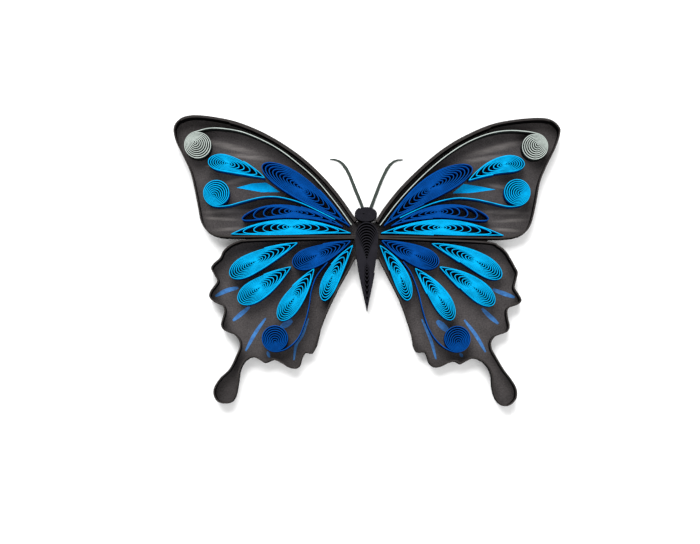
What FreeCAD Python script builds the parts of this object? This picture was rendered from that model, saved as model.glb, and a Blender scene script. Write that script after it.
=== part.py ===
import FreeCAD, Part
import math
import os

# Quilled paper butterfly, lying flat on its back, head towards +Y.
# The back of the die-cut sheet is at Z = 0 and the origin is on the body, in the middle of the outline.
# Every coil, band and scroll is a paper strip standing on its edge on the sheet.

doc = FreeCAD.newDocument("quilled_butterfly")

# Driving dimensions, in millimetres

DRAWN_SPAN = 87.2

GENERAL_SIZES = [
    ("wing_span", 87.2),
    ("strip_height", 3.0),
    ("sheet_thickness", 0.3),
    ("paper", 0.22),
    ("turn_gap", 0.27),
    ("leading_band", 0.60),
    ("margin_band", 0.34),
    ("seam_band", 0.26),
    ("seam_clearance", 0.08),
    ("antenna_width", 0.72),
    ("head_width", 5.20),
    ("head_height", 3.56),
]

sheet = doc.addObject("Spreadsheet::Sheet", "Sizes")


def store(alias, value):
    """Put one plain number in the next free row of the sheet, under its own name."""
    store.row += 1
    sheet.set("A" + str(store.row), alias)
    sheet.set("B" + str(store.row), str(value))
    sheet.setAlias("B" + str(store.row), alias)


store.row = 0
for alias, value in GENERAL_SIZES:
    store(alias, value)
doc.recompute()

SPAN = float(sheet.get("wing_span"))
PAPER = float(sheet.get("paper"))
TURN_GAP = float(sheet.get("turn_gap"))
LEADING_BAND = float(sheet.get("leading_band"))
MARGIN_BAND = float(sheet.get("margin_band"))
SEAM_BAND = float(sheet.get("seam_band"))
SEAM_CLEARANCE = float(sheet.get("seam_clearance"))
ANTENNA_WIDTH = float(sheet.get("antenna_width"))
HEAD_WIDTH = float(sheet.get("head_width"))
HEAD_HEIGHT = float(sheet.get("head_height"))

# The pattern is drawn for one wing span, and is enlarged or reduced as a whole to the span that is set.
FIT = SPAN / DRAWN_SPAN

# A long free edge is folded in short straight runs, none of them further than this from its curve.
FOLD_TOLERANCE = 0.053


def at(x, y):
    """A point of the pattern."""
    return FreeCAD.Vector(x * FIT, y * FIT, 0)


def spline(points):
    curve = Part.BSplineCurve()
    curve.interpolate(points)
    return curve


def straight_runs(points):
    return [line(start, end) for start, end in zip(points, points[1:])]


def folded(curve):
    """The short straight runs that follow a free curve."""
    return straight_runs(curve.discretize(Deflection=FOLD_TOLERANCE))


def arc_chain(points):
    """Arcs end to end, each through three of an odd number of points."""
    return [Part.Arc(*points[index:index + 3]) for index in range(0, len(points) - 2, 2)]


def line(start, end):
    return Part.LineSegment(start, end)


# Bodies, sketches and pads


def new_body(label):
    body = doc.addObject("PartDesign::Body", label)
    body.Label = label
    return body


def add_pad(body, name, outline, height):
    """Draw closed outlines on the body's own XY plane and raise them by a height of the sheet."""
    edges = []
    for curve in outline:
        if isinstance(curve, Part.BSplineCurve):
            edges += folded(curve)
        else:
            edges.append(curve)
    sketch = body.newObject("Sketcher::SketchObject", name + "_outline")
    plane = [item for item in body.Origin.OriginFeatures if item.Role == "XY_Plane"][0]
    sketch.AttachmentSupport = [(plane, "")]
    sketch.MapMode = "FlatFace"
    sketch.addGeometry(edges, False)
    pad = body.newObject("PartDesign::Pad", name + "_pad")
    pad.Profile = sketch
    pad.setExpression("Length", "Sizes." + height)
    sketch.Visibility = False
    return pad


def stand_on_sheet(body):
    body.setExpression("Placement.Base.z", "Sizes.sheet_thickness")


# Outlines of the wings, from the head round to the body, one curve for each free edge

FOREWING_EDGE = {
    "left": [(-2.3, 9.0), (-3.3, 10.4), (-6.4, 14.8), (-10.3, 19.3), (-15.3, 23.8), (-21.9, 28.1),
             (-28.7, 31.1), (-35.0, 32.5), (-39.5, 32.8), (-42.2, 32.0), (-43.6, 30.0), (-43.2, 27.2),
             (-41.5, 23.6), (-39.8, 19.9), (-38.8, 15.9), (-37.9, 11.4), (-37.3, 8.6), (-36.0, 6.6),
             (-33.8, 5.4), (-31.1, 5.1), (-27.5, 5.1)],
    "right": [(1.9, 8.8), (3.2, 10.9), (4.1, 12.2), (7.4, 16.3), (12.0, 20.9), (16.5, 24.7),
              (21.4, 27.8), (27.7, 30.6), (33.4, 31.8), (39.0, 32.2), (41.7, 31.7), (43.4, 30.2),
              (43.6, 28.6), (42.5, 25.4), (40.4, 21.1), (39.0, 17.7), (38.2, 13.6), (37.5, 10.3),
              (36.7, 7.8), (35.4, 6.1), (33.0, 5.1), (30.0, 4.8), (27.5, 4.8)],
}

HINDWING_EDGE = {
    "left": [(-26.4, 4.6), (-29.0, 4.2), (-30.9, 3.3), (-32.3, 2.0), (-33.0, 0.5), (-34.4, -0.8),
             (-35.0, -1.9), (-34.3, -3.3), (-33.6, -4.7), (-34.3, -5.9), (-35.1, -7.0), (-35.4, -8.2),
             (-34.6, -9.2), (-33.4, -9.8), (-32.3, -10.4), (-32.0, -11.6), (-32.4, -13.2),
             (-32.7, -14.7), (-32.0, -15.8), (-30.0, -16.6), (-28.7, -18.0), (-28.5, -19.4),
             (-29.1, -21.1), (-30.7, -24.4), (-32.9, -26.6), (-34.2, -28.8), (-34.2, -30.5),
             (-33.3, -31.8), (-31.7, -32.2), (-30.1, -31.7), (-29.2, -29.9), (-28.8, -27.7),
             (-28.4, -24.8), (-27.2, -22.6), (-25.5, -21.8), (-24.1, -22.4), (-22.8, -23.1),
             (-21.0, -22.4), (-19.1, -23.2), (-17.0, -24.3), (-15.4, -24.1), (-14.6, -22.2),
             (-13.8, -20.8), (-12.7, -21.0), (-11.9, -20.4), (-10.5, -15.8), (-8.4, -10.5),
             (-6.1, -5.8), (-3.8, -1.7), (-2.7, 0.6)],
    "right": [(27.0, 4.1), (29.6, 3.2), (31.1, 2.0), (32.1, 0.5), (33.2, -1.5), (33.8, -2.8),
              (33.5, -4.4), (33.1, -6.2), (33.9, -7.6), (34.6, -9.0), (34.0, -9.9), (32.6, -10.3),
              (31.5, -11.2), (31.5, -12.8), (31.9, -14.9), (31.4, -16.1), (30.1, -16.6), (28.7, -17.2),
              (27.8, -18.4), (27.9, -20.0), (29.1, -22.2), (30.6, -24.7), (32.2, -26.8), (33.3, -28.8),
              (33.4, -30.7), (32.5, -32.1), (31.0, -32.8), (29.3, -32.0), (28.3, -30.2), (27.9, -28.0),
              (27.8, -25.9), (27.0, -24.0), (25.5, -22.6), (23.7, -22.1), (22.1, -22.8), (20.8, -23.4),
              (19.8, -22.8), (18.1, -23.2), (15.4, -24.1), (14.0, -23.3), (13.5, -22.0), (12.9, -20.7),
              (11.5, -20.8), (10.6, -20.0), (10.1, -17.4), (9.0, -13.8), (7.7, -9.9), (5.7, -5.7),
              (3.9, -2.1), (2.6, 0.5)],
}

# The seam is the straight run where fore- and hindwing lie side by side, from their free edges to the body.
SEAM_ROOT = {"left": (-2.9, 5.2), "right": (2.6, 5.2)}


def edge_curve(edge, side):
    return spline([at(x, y) for x, y in edge[side]])


def inner_points(curve, count, turn, width_at):
    """Points inside a free edge, each one band's width in from it; turn is +1 or -1 for the side."""
    points = []
    for step in range(count + 1):
        share = step / count
        value = curve.FirstParameter + share * (curve.LastParameter - curve.FirstParameter)
        tangent = curve.tangent(value)[0]
        inward = FreeCAD.Vector(-tangent.y, tangent.x, 0) * turn
        points.append(curve.value(value) + inward * width_at(share))
    return points


# Bands of black paper round the wings

LEADING_SHARE = 0.42
FOREWING_STEPS = 40
HINDWING_STEPS = 96


def forewing_width(share):
    """The leading edge has extra plies at the root, which thin out to the plain margin at the tip."""
    thin = min(1.0, share / LEADING_SHARE)
    return LEADING_BAND + (MARGIN_BAND - LEADING_BAND) * thin


def margin_width(share):
    return MARGIN_BAND


def make_forewing_rim(side):
    fore = edge_curve(FOREWING_EDGE, side)
    turn = 1 if side == "left" else -1
    root = at(*SEAM_ROOT[side])
    inner = inner_points(fore, FOREWING_STEPS, turn, forewing_width)
    inner_end = inner[-1]
    inner_end.y = fore.EndPoint.y + SEAM_BAND
    inner_root = root + FreeCAD.Vector(0, SEAM_BAND, 0)
    edges = [
        fore,
        line(fore.EndPoint, root),
        line(root, inner_root),
        line(inner_root, inner_end),
        spline(list(reversed(inner))),
        line(inner[0], fore.StartPoint),
    ]
    body = new_body("forewing_rim_" + side)
    add_pad(body, "forewing_rim_" + side, edges, "strip_height")
    stand_on_sheet(body)
    return body


def make_hindwing_rim(side):
    hind = edge_curve(HINDWING_EDGE, side)
    turn = 1 if side == "left" else -1
    root = at(*SEAM_ROOT[side]) - FreeCAD.Vector(0, SEAM_CLEARANCE, 0)
    inner = inner_points(hind, HINDWING_STEPS, turn, margin_width)
    inner_start = inner[0]
    inner_start.y = hind.StartPoint.y - SEAM_BAND
    inner_root = root - FreeCAD.Vector(0, SEAM_BAND, 0)
    edges = [
        hind,
        line(hind.EndPoint, inner[-1]),
        spline(list(reversed(inner))),
        line(inner_start, inner_root),
        line(inner_root, root),
        line(root, hind.StartPoint),
    ]
    body = new_body("hindwing_rim_" + side)
    add_pad(body, "hindwing_rim_" + side, edges, "strip_height")
    stand_on_sheet(body)
    return body


# Drops and leaves: coils let loose and pinched to one or two points.
# tip and end are the ends of the centre line, bow is how far that line bows to its left,
# belly is where the coil is widest, and taper is how hollow its sides are towards the tip.

DROPS = [
    ("forewing_drop_left", (-22.9, 18.5), (-35.8, 22.5), 3.95, -0.72, 0.76, 0.90, 3, 4),
    ("forewing_drop_right", (22.8, 17.9), (35.5, 22.0), 3.95, 1.13, 0.76, 0.90, 3, 4),
    ("forewing_plume_left", (-3.8, 7.55), (-23.6, 21.55), 5.30, -0.72, 0.68, 1.20, 4, 6),
    ("forewing_plume_right", (3.7, 7.6), (23.7, 21.0), 5.35, 1.22, 0.68, 1.20, 4, 6),
    ("forewing_dark_leaf_left", (-5.3, 7.4), (-28.2, 9.3), 3.20, -2.60, 0.70, 1.00, 3, 4),
    ("forewing_dark_leaf_right", (5.3, 7.6), (27.4, 9.3), 3.30, 2.42, 0.70, 1.00, 3, 4),
    ("hindwing_outer_drop_left", (-15.5, 3.9), (-30.8, -3.5), 4.74, -0.34, 0.74, 0.90, 3, 4),
    ("hindwing_outer_drop_right", (14.4, 3.7), (30.2, -3.8), 4.56, 0.72, 0.74, 0.90, 3, 4),
    ("hindwing_middle_drop_left", (-17.0, -1.5), (-28.8, -9.4), 4.96, 0.07, 0.70, 0.90, 3, 4),
    ("hindwing_middle_drop_right", (16.2, -1.5), (28.5, -9.9), 4.69, 0.45, 0.70, 0.90, 3, 4),
    ("hindwing_inner_drop_left", (-11.8, -1.9), (-19.6, -13.5), 4.51, -0.05, 0.68, 0.90, 3, 4),
    ("hindwing_inner_drop_right", (10.7, -1.8), (19.2, -13.4), 4.33, 0.52, 0.68, 0.90, 3, 4),
    ("hindwing_dark_drop_left", (-3.6, 4.3), (-16.7, -1.0), 4.80, 0.18, 0.72, 0.90, 3, 4),
    ("hindwing_dark_drop_right", (3.2, 4.4), (16.1, -0.9), 4.80, -0.18, 0.72, 0.90, 3, 4),
    ("hindwing_root_drop_left", (-3.1, 3.4), (-9.9, -9.1), 3.75, -0.75, 0.68, 0.90, 3, 4),
    ("hindwing_root_drop_right", (2.8, 3.4), (9.35, -9.05), 3.70, 0.82, 0.68, 0.90, 3, 4),
    ("body", (0.0, -11.6), (-0.1, 8.5), 5.14, 0.0, 0.85, 1.10, 4, 6),
]

ARROW_LENGTH = 0.62
ARROW_FILL = 0.55
WIDEST_ARROW = 0.42
CRESCENT_DEPTH = 0.52
PRESSED_TURN = 1.2


class Coil:
    """A pinched coil: its own frame, and how wide it is along its centre line."""

    def __init__(self, tip, end, width, bow, belly, taper):
        self.tip = at(*tip)
        self.end = at(*end)
        self.length = (self.end - self.tip).Length
        self.axis = (self.end - self.tip) / self.length
        self.left = FreeCAD.Vector(-self.axis.y, self.axis.x, 0)
        self.width = width * FIT
        self.bow = bow * FIT
        self.belly = belly
        self.taper = taper

    def half_width(self, share):
        if share <= 0 or share >= 1:
            return 0.0
        if share < self.belly:
            return self.width / 2 * math.sin(math.pi / 2 * share / self.belly) ** self.taper
        over = (share - self.belly) / (1 - self.belly)
        return self.width / 2 * math.sqrt(1 - over * over)

    def point(self, share, across):
        across += 4 * self.bow * share * (1 - share)
        return self.tip + self.axis * (share * self.length) + self.left * across


class Leaf(Coil):
    """A coil pinched at both ends."""

    def half_width(self, share):
        if share <= 0 or share >= 1:
            return 0.0
        return self.width / 2 * math.sin(math.pi * share ** self.belly) ** self.taper


FLANK_STEPS = 5
ROUND_ANGLES = (33, 62)
LEAF_STEPS = 12


def flank(coil, shares, side):
    return [coil.point(share, side * coil.half_width(share)) for share in shares]


def drop_outline(coil):
    """Flanks pulled nearly straight from the tip to the belly, and arcs round the far end."""
    front = [coil.belly * step / FLANK_STEPS for step in range(FLANK_STEPS + 1)]
    back = [coil.belly + (1 - coil.belly) * math.sin(math.radians(angle)) for angle in ROUND_ANGLES]
    left = flank(coil, front, 1)
    right = flank(coil, reversed(front), -1)
    round_end = [left[-1]] + flank(coil, back, 1) + [coil.end] + flank(coil, reversed(back), -1) + [right[0]]
    return straight_runs(left) + arc_chain(round_end) + straight_runs(right)


def leaf_outline(coil):
    shares = [step / LEAF_STEPS for step in range(LEAF_STEPS + 1)]
    return straight_runs(flank(coil, shares, 1) + flank(coil, reversed(shares), -1)[1:])


def crescents(coil, count):
    """The open gaps between the outer turns, widest at the round end and pressed shut at the sides."""
    edges = []
    for turn in range(count):
        outer = PAPER * (turn + 1) + TURN_GAP * turn
        depth = (1 - coil.belly) * coil.length - outer
        breadth = coil.width / 2 - PAPER * (turn + PRESSED_TURN)
        angle = 2 * math.atan(CRESCENT_DEPTH * breadth / depth)
        back = 1 - (outer + depth * (1 - math.cos(angle))) / coil.length
        start = coil.point(back, breadth * math.sin(angle))
        finish = coil.point(back, -breadth * math.sin(angle))
        outer_middle = coil.point(1 - outer / coil.length, 0)
        inner_middle = coil.point(1 - (outer + TURN_GAP) / coil.length, 0)
        edges.append(Part.Arc(start, outer_middle, finish))
        edges.append(Part.Arc(finish, inner_middle, start))
    return edges


def share_where(coil, half_width, start, stop):
    """Where along the coil its half width has a value, found by halving from start to stop."""
    low = start
    high = stop
    for step in range(24):
        middle = (low + high) / 2
        if coil.half_width(middle) < half_width:
            low = middle
        else:
            high = middle
    return (low + high) / 2


def arrows(coil, count, tip_share, belly_share):
    """The small open corners that the turns leave along the centre line towards a pinched tip."""
    edges = []
    way = 1 if belly_share > tip_share else -1
    position = None
    for turn in range(count):
        share = share_where(coil, PAPER * (turn + PRESSED_TURN), tip_share, belly_share)
        if position is not None:
            share = way * max(way * share, way * position + (ARROW_LENGTH + PAPER * 0.6) / coil.length)
        position = share
        back = share + way * ARROW_LENGTH / coil.length
        spread = min(WIDEST_ARROW, ARROW_FILL * (coil.half_width(back) - PAPER * (turn + PRESSED_TURN)))
        corner = coil.point(share, 0)
        one = coil.point(back, spread)
        other = coil.point(back, -spread)
        edges += [line(corner, one), line(one, other), line(other, corner)]
    return edges


def make_drop(label, tip, end, width, bow, belly, taper, crescent_count, arrow_count):
    store(label + "_width", width)
    doc.recompute()
    coil = Coil(tip, end, float(sheet.get(label + "_width")), bow, belly, taper)
    edges = drop_outline(coil) + crescents(coil, crescent_count) + arrows(coil, arrow_count, 0.0, belly)
    body = new_body(label)
    add_pad(body, label, edges, "strip_height")
    stand_on_sheet(body)
    return body


LEAVES = [
    ("forewing_long_leaf_left", (-3.5, 6.0), (-30.6, 5.8), 3.60, -1.55, 1.09, 0.87, 6),
    ("forewing_long_leaf_right", (3.0, 6.0), (30.7, 5.5), 3.60, 1.55, 1.05, 0.95, 6),
]


def make_leaf(label, tip, end, width, bow, belly, taper, arrow_count):
    store(label + "_width", width)
    doc.recompute()
    coil = Leaf(tip, end, float(sheet.get(label + "_width")), bow, belly, taper)
    edges = leaf_outline(coil) + arrows(coil, arrow_count, 0.0, 0.5) + arrows(coil, arrow_count, 1.0, 0.5)
    body = new_body(label)
    add_pad(body, label, edges, "strip_height")
    stand_on_sheet(body)
    return body


# Scrolls: a loose round coil whose strip runs on as a curved vein.
# leave is the direction from the centre at which the strip leaves the coil, open the one on which
# its turns stand apart, and sweep is +1 where the strip goes on anticlockwise round the coil.

SCROLLS = [
    ("forewing_tip_scroll_left", (-38.04, 25.99), 3.23, 97, -45, -1,
     [(-35.8, 29.8), (-32.8, 29.8), (-28.2, 29.0), (-23.5, 27.1), (-19.6, 24.9), (-15.9, 22.1),
      (-11.6, 18.3), (-7.0, 12.8), (-3.5, 7.9)]),
    ("forewing_tip_scroll_right", (37.75, 25.65), 3.14, 83, 215, 1,
     [(35.9, 29.1), (31.9, 29.3), (27.9, 28.7), (23.6, 27.1), (19.3, 24.6), (14.7, 21.0),
      (10.4, 16.9), (6.7, 12.8), (2.9, 7.8)]),
    ("forewing_margin_scroll_left", (-33.79, 15.16), 3.14, 270, 50, 1,
     [(-31.1, 12.3), (-28.2, 13.1), (-24.2, 14.1), (-20.9, 14.3), (-17.6, 13.75), (-14.3, 12.65),
      (-10.3, 10.72), (-7.2, 9.12)]),
    ("forewing_margin_scroll_right", (33.66, 15.30), 3.16, 275, 160, -1,
     [(31.6, 12.1), (27.7, 13.0), (24.3, 13.7), (20.7, 14.0), (17.3, 13.5), (14.0, 12.5),
      (10.4, 10.95), (7.4, 9.5)]),
    ("hindwing_scroll_left", (-20.55, -17.57), 3.11, 279, 90, 1,
     [(-17.8, -19.8), (-15.4, -17.5), (-13.9, -13.9), (-13.0, -10.3), (-12.5, -6.9), (-11.3, -3.6),
      (-8.9, -0.6)]),
    ("hindwing_scroll_right", (20.10, -17.69), 3.11, 261, 105, -1,
     [(17.3, -19.7), (15.2, -17.7), (13.7, -15.1), (12.5, -11.4), (11.4, -6.9), (9.9, -3.0),
      (8.1, -0.4)]),
]

SCROLL_GAPS = 3
SCROLL_OPENING = math.radians(45)
LAP_ANGLE = 30
BAND_STEPS = 16


def ray(angle_degrees):
    angle = math.radians(angle_degrees)
    return FreeCAD.Vector(math.cos(angle), math.sin(angle), 0)


def scroll_gaps(centre, radius, opening):
    """Crescents between turns that stand apart on one side and lie pressed together on the other."""
    edges = []
    for turn in range(SCROLL_GAPS):
        shift = opening * (-turn * TURN_GAP / 2)
        inside = radius - turn * (PAPER + TURN_GAP / 2) - PAPER
        side = FreeCAD.Vector(-opening.y, opening.x, 0)
        hub = centre + shift
        along = inside * math.cos(SCROLL_OPENING)
        across = inside * math.sin(SCROLL_OPENING)
        start = hub + opening * along + side * across
        finish = hub + opening * along - side * across
        outer_middle = hub + opening * inside
        inner_middle = hub + opening * (inside - TURN_GAP)
        edges.append(Part.Arc(start, outer_middle, finish))
        edges.append(Part.Arc(finish, inner_middle, start))
    return edges


def band_edges(centre_line, width):
    """The outline of a strip of paper seen from above, standing along a centre line."""
    left = inner_points(centre_line, BAND_STEPS, 1, lambda share: width / 2)
    right = inner_points(centre_line, BAND_STEPS, -1, lambda share: width / 2)
    right.reverse()
    return [spline(left), line(left[-1], right[0]), spline(right), line(right[-1], left[0])]


def make_scroll(label, centre, radius, leave, opening, sweep, tail):
    store(label + "_radius", radius)
    doc.recompute()
    radius = float(sheet.get(label + "_radius")) * FIT
    hub = at(*centre)
    body = new_body(label)
    circle = Part.Circle(hub, FreeCAD.Vector(0, 0, 1), radius)
    add_pad(body, label + "_coil", [circle] + scroll_gaps(hub, radius, ray(opening)), "strip_height")
    ring = radius - PAPER / 2
    lap = hub + ray(leave - sweep * LAP_ANGLE) * ring
    start = hub + ray(leave) * ring
    vein = spline([lap, start] + [at(x, y) for x, y in tail])
    add_pad(body, label + "_vein", band_edges(vein, PAPER), "strip_height")
    stand_on_sheet(body)
    return body


# Head: a tight coil pressed to an oval, with the slit that the winding pin leaves

HEAD_CENTRE = (-0.2, 10.36)
PIN_SLIT = 0.9
OVAL_STEPS = 12


def oval(width, height):
    """An oval round the head's centre, drawn as a closed chain of arcs."""
    points = []
    for step in range(OVAL_STEPS + 1):
        angle = 2 * math.pi * step / OVAL_STEPS
        points.append(at(*HEAD_CENTRE) + FreeCAD.Vector(width / 2 * math.cos(angle), height / 2 * math.sin(angle), 0))
    return arc_chain(points)


def make_head():
    body = new_body("head")
    outline = oval(HEAD_WIDTH * FIT, HEAD_HEIGHT * FIT)
    centre = at(*HEAD_CENTRE)
    corner = FreeCAD.Vector(PIN_SLIT / 2 * FIT, 0, 0)
    rise = FreeCAD.Vector(0, PAPER / 2, 0)
    slit = arc_chain([centre - corner, centre + rise, centre + corner, centre - rise, centre - corner])
    add_pad(body, "head", outline + slit, "strip_height")
    stand_on_sheet(body)
    return body


# Backing: one die-cut sheet under both wings, the body and the head, with the antennae cut in one with it

ANTENNAE = {
    "left": [(-0.5, 10.8), (-0.85, 12.0), (-2.55, 16.2), (-4.5, 20.9), (-5.75, 22.55), (-8.4, 23.35)],
    "right": [(0.35, 10.8), (0.75, 12.0), (2.4, 16.2), (4.45, 20.9), (5.65, 22.5), (8.2, 23.25)],
}
ANTENNA_TAPER = 0.75
TONGUE_INSET = 0.3
PLATE_OVERLAP = 0.6
NECK_WIDTH = 1.6
NECK_FOOT = 7.0


def antenna_edges(points):
    middle = spline([at(x, y) for x, y in points])

    def width_at(share):
        thin = max(0.0, (share - ANTENNA_TAPER) / (1 - ANTENNA_TAPER))
        return ANTENNA_WIDTH / 2 * (1 - 0.7 * thin)

    left = inner_points(middle, BAND_STEPS, 1, width_at)
    right = inner_points(middle, BAND_STEPS, -1, width_at)
    right.reverse()
    return [spline(left), line(left[-1], right[0]), spline(right), line(right[-1], left[0])]


def plate_edges(side):
    """One side of the sheet, from the head round both wings to the body and back past the centre line."""
    fore = edge_curve(FOREWING_EDGE, side)
    hind = edge_curve(HINDWING_EDGE, side)
    past = PLATE_OVERLAP if side == "left" else -PLATE_OVERLAP
    low = at(past, HINDWING_EDGE[side][-1][1])
    high = at(past, FOREWING_EDGE[side][0][1])
    return [
        fore,
        line(fore.EndPoint, hind.StartPoint),
        hind,
        line(hind.EndPoint, low),
        line(low, high),
        line(high, fore.StartPoint),
    ]


def make_backing():
    pieces = []
    for side in ("left", "right"):
        plate = new_body("plate_" + side)
        add_pad(plate, "plate_" + side, plate_edges(side), "sheet_thickness")
        pieces.append(plate)
        antenna = new_body("antenna_" + side)
        add_pad(antenna, "antenna_" + side, antenna_edges(ANTENNAE[side]), "sheet_thickness")
        pieces.append(antenna)
    body_row = [row for row in DROPS if row[0] == "body"][0]
    width = float(sheet.get("body_width")) - 2 * TONGUE_INSET / FIT
    tongue_coil = Coil((body_row[1][0], body_row[1][1] + TONGUE_INSET), body_row[2], width, *body_row[4:7])
    tongue = new_body("tongue")
    add_pad(tongue, "tongue", drop_outline(tongue_coil), "sheet_thickness")
    pieces.append(tongue)
    neck = new_body("neck")
    low = at(0, NECK_FOOT)
    high = at(0, HEAD_CENTRE[1])
    half = FreeCAD.Vector(NECK_WIDTH / 2, 0, 0)
    corners = [low - half, low + half, high + half, high - half, low - half]
    add_pad(neck, "neck", straight_runs(corners), "sheet_thickness")
    pieces.append(neck)
    chin = new_body("chin")
    outline = oval(HEAD_WIDTH * FIT - 2 * TONGUE_INSET, HEAD_HEIGHT * FIT - 2 * TONGUE_INSET)
    add_pad(chin, "chin", outline, "sheet_thickness")
    pieces.append(chin)
    backing = doc.addObject("Part::MultiFuse", "wing_backing")
    backing.Label = "wing_backing"
    backing.Shapes = pieces
    backing.Refine = True
    return backing


# Assembly

nodes = []
for row in DROPS:
    nodes.append(make_drop(*row))
for row in LEAVES:
    nodes.append(make_leaf(*row))
for row in SCROLLS:
    nodes.append(make_scroll(*row))
nodes.append(make_head())
for side in ("left", "right"):
    nodes.append(make_forewing_rim(side))
    nodes.append(make_hindwing_rim(side))
nodes.append(make_backing())

doc.recompute()

for item in doc.Objects:
    if "Invalid" in item.State or "Error" in item.State:
        raise RuntimeError(item.Label + " did not build: " + str(item.State))
for node in nodes:
    if node.Shape.isNull() or not node.Shape.isValid():
        raise RuntimeError(node.Label + " has no valid shape")

os.makedirs("parts", exist_ok=True)
for node in nodes:
    node.Shape.exportStep("parts/" + node.Label + ".step")
    print(node.Label, len(node.Shape.Solids), round(node.Shape.Volume, 3))
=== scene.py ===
import math
import bpy
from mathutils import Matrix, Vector


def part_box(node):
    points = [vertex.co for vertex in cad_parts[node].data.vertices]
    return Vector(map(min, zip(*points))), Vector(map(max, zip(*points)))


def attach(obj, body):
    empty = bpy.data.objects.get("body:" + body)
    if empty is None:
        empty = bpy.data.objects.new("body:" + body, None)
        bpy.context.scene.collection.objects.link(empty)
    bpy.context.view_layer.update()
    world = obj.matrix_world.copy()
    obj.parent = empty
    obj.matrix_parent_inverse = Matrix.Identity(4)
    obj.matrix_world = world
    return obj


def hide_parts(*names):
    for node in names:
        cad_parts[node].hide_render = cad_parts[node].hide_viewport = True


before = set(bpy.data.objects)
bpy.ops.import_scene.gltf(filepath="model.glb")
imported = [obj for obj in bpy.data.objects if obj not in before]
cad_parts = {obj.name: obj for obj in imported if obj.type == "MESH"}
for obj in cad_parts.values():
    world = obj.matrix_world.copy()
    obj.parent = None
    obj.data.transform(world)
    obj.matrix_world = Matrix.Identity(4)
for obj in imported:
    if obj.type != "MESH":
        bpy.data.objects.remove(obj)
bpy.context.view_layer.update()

# Wing ground: one sheet of matt dark grey card, cut to the outline of both wings, with the two
# antennae in one with it. Its print is a mottled grey with soft paler brush marks across the
# forewings, and everything else is glued to it.

MM = 0.001
SHEET_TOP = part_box("wing_backing")[1].z
SHEET_GREYS = ("#353232", "#4B4747")
ANTENNA_GREY = "#333A36"
BRUSH_GREY = "#827D7A"

# Grain and clouds of the print, the clouds' share in the mottle, and the range that the greys span.
GRAINS_PER_MM = 3.2
CLOUDS_PER_MM = 0.35
CLOUD_SHARE = 0.55
MOTTLE_RANGE = (0.55, 1.0)
GRAIN_HEIGHT = 0.02 * MM

# The antennae lie above a line that the wings stay below. Its height in the middle and its rise for
# each millimetre to the side are given, and the way over which the grey changes, in millimetres.
ANTENNA_LINE = 8.0
ANTENNA_LINE_RISE = 1.45
ANTENNA_BLEND = 1.0

# Brush marks: centre, half length, half width and turn of each, in millimetres and degrees.
BRUSH_MARKS = [
    (-31.0, 26.2, 7.5, 0.9, -14), (-27.0, 23.9, 6.0, 0.7, -6), (-33.5, 21.8, 3.5, 0.5, 0),
    (-29.5, 18.4, 3.6, 0.7, 12), (-31.5, 11.4, 6.5, 0.6, 2), (-33.0, 9.7, 4.5, 0.5, -3),
    (-30.5, 7.4, 5.0, 0.5, 4), (30.0, 26.0, 7.5, 0.9, 14), (27.0, 23.5, 6.0, 0.7, 8),
    (29.5, 17.2, 3.2, 0.6, -10), (31.0, 11.2, 6.0, 0.6, -2), (32.5, 9.3, 4.5, 0.5, 3),
    (31.0, 7.2, 4.5, 0.5, -4),
]
# A mark is full near its middle and gone a little past its half size, and it goes through the sheet.
BRUSH_FULL = 0.1
BRUSH_GONE = 1.2
BRUSH_STRENGTH = 0.8
BRUSH_DEPTH = 10.0
STREAKS_PER_MM = (0.35, 2.4, 1.0)


def linear(hex_colour):
    """An sRGB hex colour as linear light."""
    values = [int(hex_colour[i:i + 2], 16) / 255 for i in (1, 3, 5)]
    return [v / 12.92 if v <= 0.04045 else ((v + 0.055) / 1.055) ** 2.4 for v in values] + [1.0]


def node(tree, kind, settings=None, links=None):
    """Adds a node, sets its properties and sockets, and links sockets of other nodes into it."""
    made = tree.nodes.new(kind)
    for key, value in (settings or {}).items():
        if isinstance(key, str) and hasattr(made, key):
            setattr(made, key, value)
        else:
            made.inputs[key].default_value = value
    for key, source in (links or {}).items():
        tree.links.new(source, made.inputs[key])
    return made


def new_material(name):
    """A new material with its tree, its shader and the place on the piece in millimetres."""
    material = bpy.data.materials.new(name)
    material.use_nodes = True
    tree = material.node_tree
    tree.nodes.clear()
    shader = node(tree, "ShaderNodeBsdfPrincipled")
    node(tree, "ShaderNodeOutputMaterial", links={"Surface": shader.outputs[0]})
    place = node(tree, "ShaderNodeTexCoord").outputs["Object"]
    millimetres = node(tree, "ShaderNodeVectorMath", {"operation": "SCALE", "Scale": 1 / MM}, {0: place})
    return material, tree, shader, millimetres.outputs[0]


# Printed matt card: no gloss, a fine grain of about 0.3 mm and slow clouds a few millimetres wide.
card, tree, shader, place = new_material("matt_printed_card")
clouds = node(tree, "ShaderNodeTexNoise", {"Scale": CLOUDS_PER_MM, "Detail": 5.0, "Roughness": 0.6},
              {"Vector": place})
grain = node(tree, "ShaderNodeTexNoise", {"Scale": GRAINS_PER_MM, "Detail": 2.0}, {"Vector": place})
mottle = node(tree, "ShaderNodeMath", {"operation": "MULTIPLY_ADD", 1: CLOUD_SHARE},
              {0: clouds.outputs[0], 2: grain.outputs[0]})
ground = node(tree, "ShaderNodeValToRGB", links={0: mottle.outputs[0]})
for stop, position, grey in zip(ground.color_ramp.elements, MOTTLE_RANGE, SHEET_GREYS):
    stop.position = position
    stop.color = linear(grey)

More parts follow.
